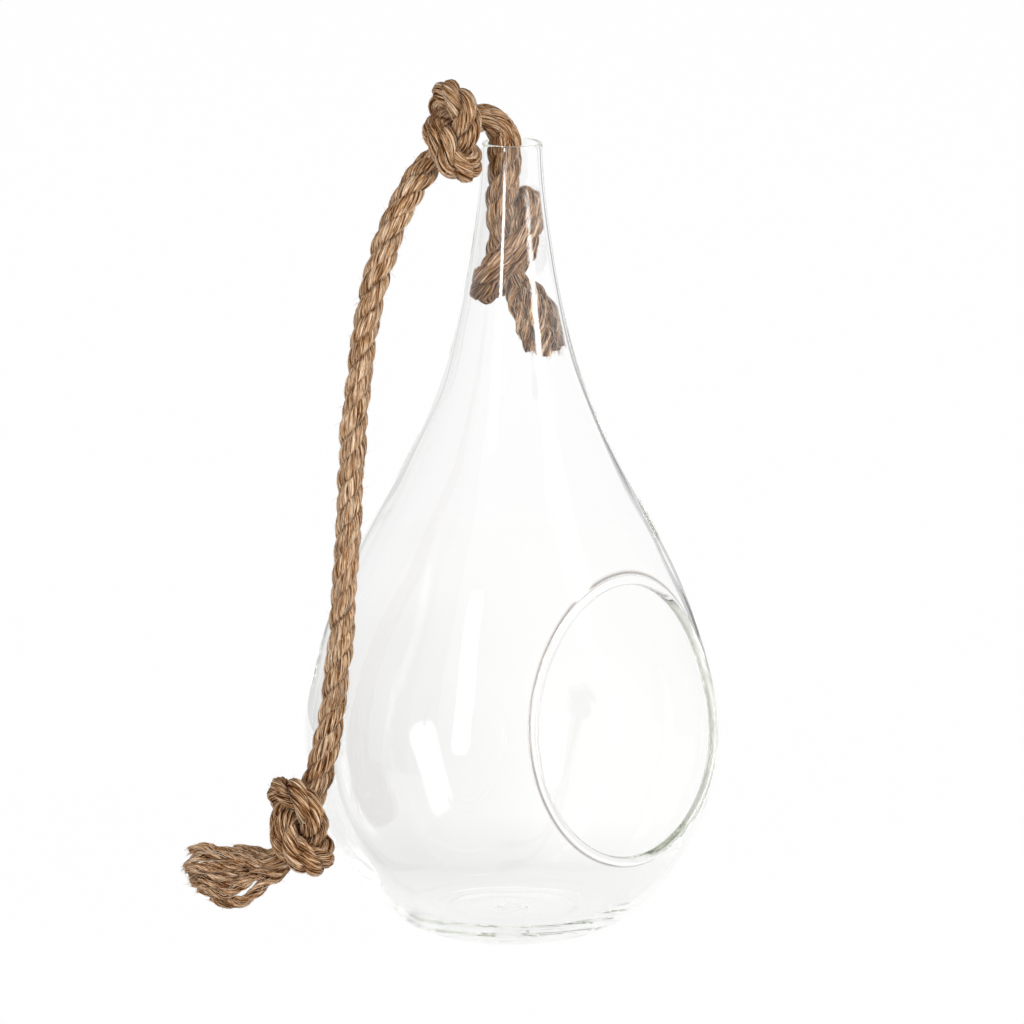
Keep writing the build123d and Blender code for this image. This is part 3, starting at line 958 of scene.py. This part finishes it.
def strand_skin(strand):
    """One strand along the whole rope: vertices in rings, their fibre coordinates, tone with painted shade
    in its grooves, and painted crevice shade.
    """
    columns = YARNS * YARN_POINTS
    wander = smooth_noise(rope_along, STRAND_WANDER)
    turn = 2 * math.pi * (rope_along / LAY_LENGTH + strand / 3) + wander
    outward = rope_across * np.cos(turn)[:, None] + rope_beside * np.sin(turn)[:, None]
    swell = thickness * (1 + smooth_noise(rope_along, STRAND_SWELL))
    centre = rope_line + outward * (STRAND_OFFSET * swell)[:, None]
    run = unit(np.gradient(centre, axis=0))
    outward = unit(outward - run * (outward * run).sum(1)[:, None])
    sideways = np.cross(run, outward)

    column = np.arange(columns)
    own = 2 * math.pi * column / columns
    in_yarn = np.abs(column % YARN_POINTS / YARN_POINTS * 2 - 1)
    angle = own + YARN_TWIST * rope_along[:, None] + smooth_noise(rope_along, YARN_WANDER)[:, None]
    yarn_size = 1 + column_noise(rope_along, YARN_SWELL, YARNS, YARN_POINTS)
    rough = 1 + smooth_noise(rope_along, FIBRE_ROUGHNESS, (columns,))
    size = (1 - YARN_GROOVE * in_yarn**2) * yarn_size * rough * swell[:, None]
    radial = STRAND_RADIAL * np.cos(angle) * size
    wide = STRAND_WIDE * np.sin(angle) * size
    skin = centre[:, None] + outward[:, None] * radial[..., None] + sideways[:, None] * wide[..., None]

    fibre = fibre_places(own, rope_along, FIBRE_SPREAD, FIBRE_SHIFT * strand)
    # The tone holds painted shade: it is darker in the grooves between the yarns
    tone = (
        ROPE_TONE
        + shade[:, None]
        + column_noise(rope_along, STREAK_TONE, columns // STREAK_COLUMNS, STREAK_COLUMNS)
        + column_noise(rope_along, YARN_TONE, YARNS, YARN_POINTS)
        - GROOVE_SHADE_TONE * in_yarn**2
    )
    # Painted shade: darker on the side of the strand that faces the rope's middle, between the strands
    crevice_shade = np.clip(STRAND_CREVICE_SHADE[0] - STRAND_CREVICE_SHADE[1] * np.cos(angle), 0, 1) * np.ones_like(size)
    return inside_glass(skin), fibre, tone, crevice_shade


strands = [strand_skin(k) for k in range(3)]


class Fibres:
    """Gathers tubes of fibre into one mesh, with the values that the jute material reads."""

    def __init__(self):
        self.tubes = []
        self.faces = []
        self.count = 0

    def add(self, skin, fibre, tone, crevice_shade):
        """One tube, as its rings of vertices and their values."""
        rings, points = skin.shape[:2]
        self.faces += tube_faces(rings, points, self.count)
        self.count += rings * points
        self.tubes.append((skin.reshape(-1, 3), fibre.reshape(-1, 3), tone.ravel(), crevice_shade.ravel()))

    def thread(self, line, radius, tone):
        """One thin fibre along a line."""
        line = inside_glass(line)
        _, across, beside = carried_frames(line)
        angle = 2 * math.pi * np.arange(THREAD_SIDES) / THREAD_SIDES
        taper = radius * (1 - THREAD_TAPER * np.linspace(0, 1, len(line)) ** 2)[:, None, None]
        skin = line[:, None] + taper * (
            across[:, None] * np.cos(angle)[:, None] + beside[:, None] * np.sin(angle)[:, None]
        )
        fibre = np.broadcast_to(line[:1, None] * THREAD_SCATTER, skin.shape)
        self.add(skin, fibre, np.full(skin.shape[:2], tone), np.zeros(skin.shape[:2]))

    def hair(self, root, way, side, length, radius):
        """One stray fibre that leaves a surface and curls."""
        steps = np.linspace(0, 1, HAIR_RINGS)[:, None]
        line = root + way * length * steps + side * length * HAIR_CURL * steps**2
        self.thread(line, radius, HAIR_TONE + HAIR_TONE_SPREAD * rng.normal())

    def lying(self, skin, ring, span, tone):
        """One fibre that lies along the yarns of a strand and rises a little from it."""
        rings = np.arange(ring, min(ring + span, len(skin)), 2)
        if len(rings) < 3:
            return
        share = np.linspace(0, 1, len(rings))
        columns = rng.integers(skin.shape[1]) + rng.uniform(*LYING_DRIFT) * share
        columns = columns.astype(int) % skin.shape[1]
        outward = unit(skin[rings, columns] - skin[rings].mean(axis=1))
        rise = LYING_RISE[0] + rng.uniform(*LYING_RISE) * np.sin(math.pi * share)
        self.thread(skin[rings, columns] + outward * rise[:, None], rng.uniform(*LYING_RADIUS), tone)

    def build(self, name):
        """The mesh object of all tubes."""
        vertices, *values = [np.concatenate(group) for group in zip(*self.tubes)]
        made = new_object(name, vertices, self.faces, jute)
        for label, group in zip(("fibre", "tone", "crevice_shade"), values):
            add_attribute(made, label, group)
        return made


def rope_piece(name, first, last):
    """A stretch of the rope: its three strands and their stray fibres."""
    fibres = Fibres()
    for strand in strands:
        fibres.add(*[values[first:last + 1] for values in strand])
    length_along = rope_along[last] - rope_along[first]
    for _ in range(int(LYING_PER_MM * length_along)):
        ring = rng.integers(first, last - 6)
        skin = strands[rng.integers(3)][0][:last + 1]
        span = rng.integers(*LYING_SPAN)
        fibres.lying(skin, ring, span, LYING_TONE + shade[ring] + LYING_TONE_SPREAD * rng.normal())
    for _ in range(int(HAIRS_PER_MM * length_along)):
        skin = strands[rng.integers(3)][0]
        ring = rng.integers(first, last)
        column = rng.integers(YARNS * YARN_POINTS)
        root = skin[ring, column]
        outward = unit(root - rope_line[ring])
        if np.linalg.norm(root - rope_line[ring]) < HAIR_ROOT * ROPE_DIAMETER:
            continue
        way = rope_ways[ring] * rng.choice([-1, 1])
        way = unit(way + outward * rng.uniform(*HAIR_LEAN) + HAIR_STRAY * rng.normal(size=3))
        side = outward * rng.uniform(*HAIR_BEND) + HAIR_BEND_STRAY * rng.normal(size=3)
        length = rng.uniform(*HAIR_LENGTH)
        if np.linalg.norm(root + (way + side * HAIR_CURL) * length - rope_line[ring]) < HAIR_REACH:
            fibres.hair(root, way, side, length, rng.uniform(*HAIR_RADIUS))
    return fibres.build(name)


def loose_yarns(name, yarns):
    """A frayed end: loose yarns with ragged tips."""
    fibres = Fibres()
    own = 2 * math.pi * np.arange(LOOSE_POINTS) / LOOSE_POINTS
    for number, (route, radius) in enumerate(yarns):
        line = even(nurbs_line(route), LOOSE_STEP)
        along = lengths(line)
        ways, across, beside = carried_frames(line)
        tip = TIP_SIZE + (1 - TIP_SIZE) * np.clip((along[-1] - along) / TIP_LENGTH, 0, 1)
        taper = radius * tip * (1 + smooth_noise(along, LOOSE_SWELL))
        twist = (own + LOOSE_TWIST * along[:, None] + number)[..., None]
        lobe = np.cos(LOOSE_LOBES * own)
        rough = 1 + smooth_noise(along, LOOSE_ROUGHNESS, (LOOSE_POINTS,))
        size = (taper[:, None] * (1 + LOOSE_LOBE_SIZE * lobe) * rough)[..., None]
        around = across[:, None] * np.cos(twist) + beside[:, None] * np.sin(twist)
        skin = inside_glass(line[:, None] + size * around)
        shift = LOOSE_FIBRE_SHIFT * number
        fibre = fibre_places(own, along, LOOSE_FIBRE_SPREAD, shift, LOOSE_FIBRE_START)
        streaks = column_noise(along, LOOSE_STREAK_TONE, LOOSE_POINTS // STREAK_COLUMNS, STREAK_COLUMNS)
        # The tone and the groove value hold painted shade: darker between the lobes, lighter on them
        tone = ROPE_TONE + LOOSE_TONE + streaks + LOOSE_LOBE_SHADE_TONE * lobe
        loose_crevice_shade = np.clip(LOOSE_CREVICE_SHADE[0] - LOOSE_CREVICE_SHADE[1] * lobe, 0, 1) * np.ones_like(tone)
        fibres.add(skin, fibre, tone, loose_crevice_shade)
        for _ in range(int(LOOSE_LYING_PER_MM * along[-1])):
            ring = rng.integers(0, len(skin) - 5)
            span = rng.integers(*LOOSE_LYING_SPAN)
            fibres.lying(skin, ring, span, LYING_TONE + LOOSE_LYING_TONE + LYING_TONE_SPREAD * rng.normal())
        for _ in range(TIP_HAIRS):
            root = skin[rng.integers(len(skin) - 6, len(skin)), rng.integers(LOOSE_POINTS)]
            side = TIP_BEND_STRAY * rng.normal(size=3)
            way = unit(ways[-1] + TIP_STRAY * rng.normal(size=3))
            fibres.hair(root, way, side, rng.uniform(*TIP_HAIR_LENGTH), rng.uniform(*TIP_HAIR_RADIUS))
        for _ in range(int(LOOSE_HAIRS_PER_MM * along[-1])):
            ring = rng.integers(2, len(skin))
            root = skin[ring, rng.integers(LOOSE_POINTS)]
            outward = unit(root - line[ring])
            way = unit(ways[ring] * rng.choice([-1, 1]) + outward * rng.uniform(*HAIR_LEAN))
            side = LOOSE_BEND_STRAY * rng.normal(size=3)
            fibres.hair(root, way, side, rng.uniform(*LOOSE_HAIR_LENGTH), rng.uniform(*HAIR_RADIUS))
    return fibres.build(name)


rope_top = rope_piece("rope_top_cord", 0, seam_index)
rope_end = rope_piece("rope_end_cord", seam_index, len(rope_line) - 1)
frayed_inner = loose_yarns("frayed_end_inner", INNER_YARNS)
frayed_outer = loose_yarns("frayed_end_outer", OUTER_YARNS)
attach(frayed_inner, "rope_top")
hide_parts("rope_tail_inner")
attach(frayed_outer, "rope_end")
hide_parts("rope_tail_outer")
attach(rope_top, "rope_top")
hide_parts("stopper_knot", "rope_neck", "upper_knot")
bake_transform(rope_end)
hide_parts("rope_drop", "lower_knot")


def seen_rays(tree):
    """A value of one for rays that come from the camera, a reflection or a clear material."""
    rays = tree.nodes.new("ShaderNodeLightPath").outputs
    seen = joined(tree, "MAXIMUM", rays["Is Camera Ray"], rays["Is Glossy Ray"])
    return joined(tree, "MAXIMUM", seen, rays["Is Transmission Ray"])


def stage_mesh(name, vertices, faces, material):
    """Something that stands round the object and isn't part of it."""
    made = new_object(name, vertices, faces, material)
    made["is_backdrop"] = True
    return made


# Stage: pale floor that shows white and keeps a soft shadow, white world
FLOOR_HALF = 8000.0
FLOOR_HEIGHT = -0.3
FLOOR_WHITE_SHARE = 0.99
WORLD_FILL = 0.19
pale, pale_tree, pale_shader = node_material("pale_floor")
set_inputs(pale_shader, Base_Color=(0.92, 0.92, 0.92, 1), Roughness=0.9, Specular_IOR_Level=0.0)
glow = pale_tree.nodes.new("ShaderNodeEmission")
pale_mix = pale_tree.nodes.new("ShaderNodeMixShader")
pale_tree.links.new(ranged(pale_tree, seen_rays(pale_tree), 0, FLOOR_WHITE_SHARE), pale_mix.inputs["Fac"])
pale_tree.links.new(pale_shader.outputs["BSDF"], pale_mix.inputs[1])
pale_tree.links.new(glow.outputs["Emission"], pale_mix.inputs[2])
pale_tree.links.new(pale_mix.outputs["Shader"], pale_tree.nodes["Material Output"].inputs["Surface"])
stage_mesh(
    "floor",
    [(x * FLOOR_HALF, y * FLOOR_HALF, FLOOR_HEIGHT) for x, y in ((-1, -1), (1, -1), (1, 1), (-1, 1))],
    [(0, 1, 2, 3)],
    pale,
)

world = bpy.data.worlds.new("studio")
bpy.context.scene.world = world
world.use_nodes = True
background = world.node_tree.nodes["Background"]
set_inputs(background, Color=(1, 1, 1, 1))
world.node_tree.links.new(
    ranged(world.node_tree, seen_rays(world.node_tree), WORLD_FILL, 1.0), background.inputs["Strength"]
)

# Grey cards stand beside and above the view through the glass, so that its edges show as thin lines.
# Each has its two azimuths, its lowest and highest edge, its brightness, and what shows it: a
# reflection, the view through the glass, or both.
CARD_DISTANCE = 420.0
CARDS = [
    (99, 109, 0, 700, 0.30, "through"),
    (104, 113, 0, 700, 0.15, "reflection"),
    (161, 170, 0, 700, 0.80, "through"),
    (160, 168, 0, 700, 0.55, "reflection"),
    (100, 173, 345, 800, 0.65, "both"),
    (168, 180, 0, 800, 0.50, "reflection"),
    (180, 195, 0, 800, 0.15, "reflection"),
    (195, 217, 0, 800, 0.0, "reflection"),
    (217, 242, 0, 800, 0.0, "reflection"),
    (242, 262, 0, 800, 0.12, "reflection"),
    (262, 278, 0, 800, 0.45, "reflection"),
]


def grey_card(name, corners, strength, shown_by):
    """A card that only the glass shows."""
    material, tree, shader = node_material(name)
    set_inputs(shader, Base_Color=(0.0, 0.0, 0.0, 1), Specular_IOR_Level=0.0)
    set_inputs(shader, Emission_Color=(1.0, 1.0, 0.99, 1), Emission_Strength=strength)
    card = stage_mesh(name, corners, [tuple(range(len(corners)))], material)
    card.visible_camera = False
    card.visible_diffuse = False
    card.visible_shadow = False
    card.visible_glossy = shown_by != "through"
    card.visible_transmission = shown_by != "reflection"
    return tree, shader


for number, (first, last, low, high, strength, shown_by) in enumerate(CARDS):
    side_a = np.array(direction(math.radians(first), 0)) * CARD_DISTANCE
    side_b = np.array(direction(math.radians(last), 0)) * CARD_DISTANCE
    bottom = np.array([0, 0, low])
    top = np.array([0, 0, high])
    corners = [side_a + bottom, side_b + bottom, side_b + top, side_a + top]
    grey_card(f"card_{number}", corners, strength, shown_by)

# The shade on the table, as the glass shows it: greyest under the base and behind the left wall
SHADE_RADIUS = 700.0
SHADE_CORNERS = 48
SHADE_HEIGHT = -0.2
BASE_SHADE = 0.12
BASE_SHADE_REACH = (50.0, 150.0)
SIDE_SHADE = 0.15
SIDE_SHADE_BACK = 136.5
SIDE_SHADE_LEFT = 226.5
SIDE_SHADE_ACROSS = (-15.0, 55.0)
SIDE_SHADE_STARTS = (0.0, 60.0)
SIDE_SHADE_ENDS = (250.0, 690.0)
shade_turns = 2 * math.pi * np.arange(SHADE_CORNERS) / SHADE_CORNERS
shade_disc = SHADE_RADIUS * np.stack([np.cos(shade_turns), np.sin(shade_turns), 0 * shade_turns], axis=1)
shade_disc = shade_disc + np.array([0, 0, SHADE_HEIGHT])
shade_tree, shade_shader = grey_card("base_shade", shade_disc, 1.0, "through")
shade_place = shade_tree.nodes.new("ShaderNodeTexCoord").outputs["Object"]


def shade_measure(operation, azimuth=None):
    """How far a place on the table is from the axis, or lies in a direction."""
    made = shade_tree.nodes.new("ShaderNodeVectorMath")
    made.operation = operation
    shade_tree.links.new(shade_place, made.inputs[0])
    if azimuth is not None:
        made.inputs[1].default_value = tuple(direction(math.radians(azimuth), 0))
    return made.outputs["Value"]


def shade_step(value, reach, first, last):
    """A measure turned into an even change from first to last."""
    return ranged(shade_tree, value, first, last, reach[0] * MM, reach[1] * MM)


under_base = shade_step(shade_measure("LENGTH"), BASE_SHADE_REACH, 1 - BASE_SHADE, 1.0)
behind = shade_measure("DOT_PRODUCT", SIDE_SHADE_BACK)
leftward = shade_measure("DOT_PRODUCT", SIDE_SHADE_LEFT)
side = shade_step(leftward, SIDE_SHADE_ACROSS, 0.0, SIDE_SHADE)
side = joined(shade_tree, "MULTIPLY", side, shade_step(behind, SIDE_SHADE_STARTS, 0.0, 1.0))
side = joined(shade_tree, "MULTIPLY", side, shade_step(behind, SIDE_SHADE_ENDS, 1.0, 0.0))
brightness = joined(shade_tree, "SUBTRACT", under_base, side)
shade_tree.links.new(brightness, shade_shader.inputs["Emission Strength"])


BOX_DISTANCE = 2.2


def soft_box(name, azimuth, elevation, width, height, radiance):
    """A rectangular lamp that faces the object."""
    lamp = bpy.data.lights.new(name, "AREA")
    lamp.shape = "RECTANGLE"
    lamp.size = width
    lamp.size_y = height
    lamp.energy = radiance * math.pi * width * height
    way = direction(math.radians(azimuth), math.radians(elevation))
    return facing_target(name, lamp, way, BOX_DISTANCE)


def soften(box, across, along):
    """Dim a lamp towards its edges, with its light kept: the shares of its half sides that fade."""
    box.data.use_nodes = True
    tree = box.data.node_tree
    place = tree.nodes.new("ShaderNodeNewGeometry")
    sides = tree.nodes.new("ShaderNodeSeparateXYZ")
    tree.links.new(place.outputs["Parametric"], sides.inputs[0])
    fades = []
    for side, share in (("X", across), ("Y", along)):
        ping = tree.nodes.new("ShaderNodeMath")
        ping.operation = "PINGPONG"
        ping.inputs[1].default_value = 0.5
        tree.links.new(sides.outputs[side], ping.inputs[0])
        peak = 1 / (1 - share / 2)
        fades.append(ranged(tree, ping.outputs["Value"], 0.0, peak, 0.0, share / 2, "SMOOTHSTEP"))
    strength = joined(tree, "MULTIPLY", *fades)
    tree.links.new(strength, tree.nodes["Emission"].inputs["Strength"])


left_box = soft_box("left_box", azimuth=-71, elevation=16.5, width=0.42, height=1.62, radiance=10.6)
soften(left_box, across=0.9, along=0.4)
right_box = soft_box("right_box", azimuth=12, elevation=20, width=0.70, height=1.6, radiance=7.5)
soften(right_box, across=0.95, along=0.5)
back_box = soft_box("back_box", azimuth=150, elevation=40, width=1.0, height=1.0, radiance=2.2)
back_box.visible_glossy = False
back_box.visible_transmission = False

bpy.context.scene.view_settings.view_transform = "Standard"

# Light passes many times through the thick glass of the base and the lips
GLASS_BOUNCES = 256
bpy.context.scene.cycles.max_bounces = GLASS_BOUNCES
bpy.context.scene.cycles.glossy_bounces = GLASS_BOUNCES
bpy.context.scene.cycles.transmission_bounces = GLASS_BOUNCES

low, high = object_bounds()
